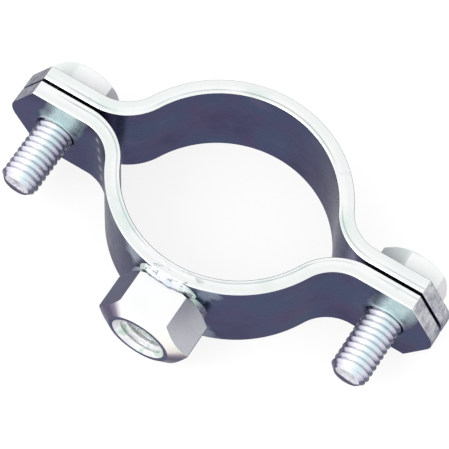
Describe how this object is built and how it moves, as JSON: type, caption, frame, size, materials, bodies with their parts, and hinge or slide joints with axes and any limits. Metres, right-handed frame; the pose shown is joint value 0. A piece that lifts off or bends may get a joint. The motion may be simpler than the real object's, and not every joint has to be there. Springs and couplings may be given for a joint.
{
  "type": "two-piece pipe clamp",
  "caption": "Bolted two-piece pipe ring of pressed, zinc plated steel strip, with a threaded hexagon boss welded on for a rod or screw.",
  "frame": {"origin": "on the ring's axis, at the middle of the strip's width and of the gap between the halves", "axes": "+X runs along the ears, +Y points to the bolt heads and away from the welded nut, +Z runs along the pipe"},
  "size_m": [0.0716, 0.0412, 0.016],
  "materials": {
    "strap_zinc": "bright zinc plated pressed strip",
    "nut_zinc": "bright zinc plated hexagon nut with its weld bead",
    "bolt_zinc": "bright zinc plated screw"
  },
  "bodies": {
    "front_half": {"front_strap": "strap_zinc", "boss_nut": "nut_zinc"},
    "back_half": {"back_strap": "strap_zinc"},
    "bolt_left": {"bolt_left": "bolt_zinc"},
    "bolt_right": {"bolt_right": "bolt_zinc"}
  },
  "joints": [
    {"name": "opening", "type": "slide", "parent": "front_half", "child": "back_half", "axis": [0, 1, 0], "range_m": [0, 0.009]},
    {"name": "bolt_left_spin", "type": "hinge", "parent": "back_half", "child": "bolt_left", "pos_m": [-0.028, 0, 0], "axis": [0, 1, 0], "range_deg": [0, 3240]},
    {"name": "bolt_right_spin", "type": "hinge", "parent": "back_half", "child": "bolt_right", "pos_m": [0.028, 0, 0], "axis": [0, 1, 0], "range_deg": [0, 3240]}
  ],
  "couplings": [
    {"joint": "bolt_left_spin", "follows": "opening", "rad_per_m": 6283.2},
    {"joint": "bolt_right_spin", "follows": "opening", "rad_per_m": 6283.2}
  ]
}
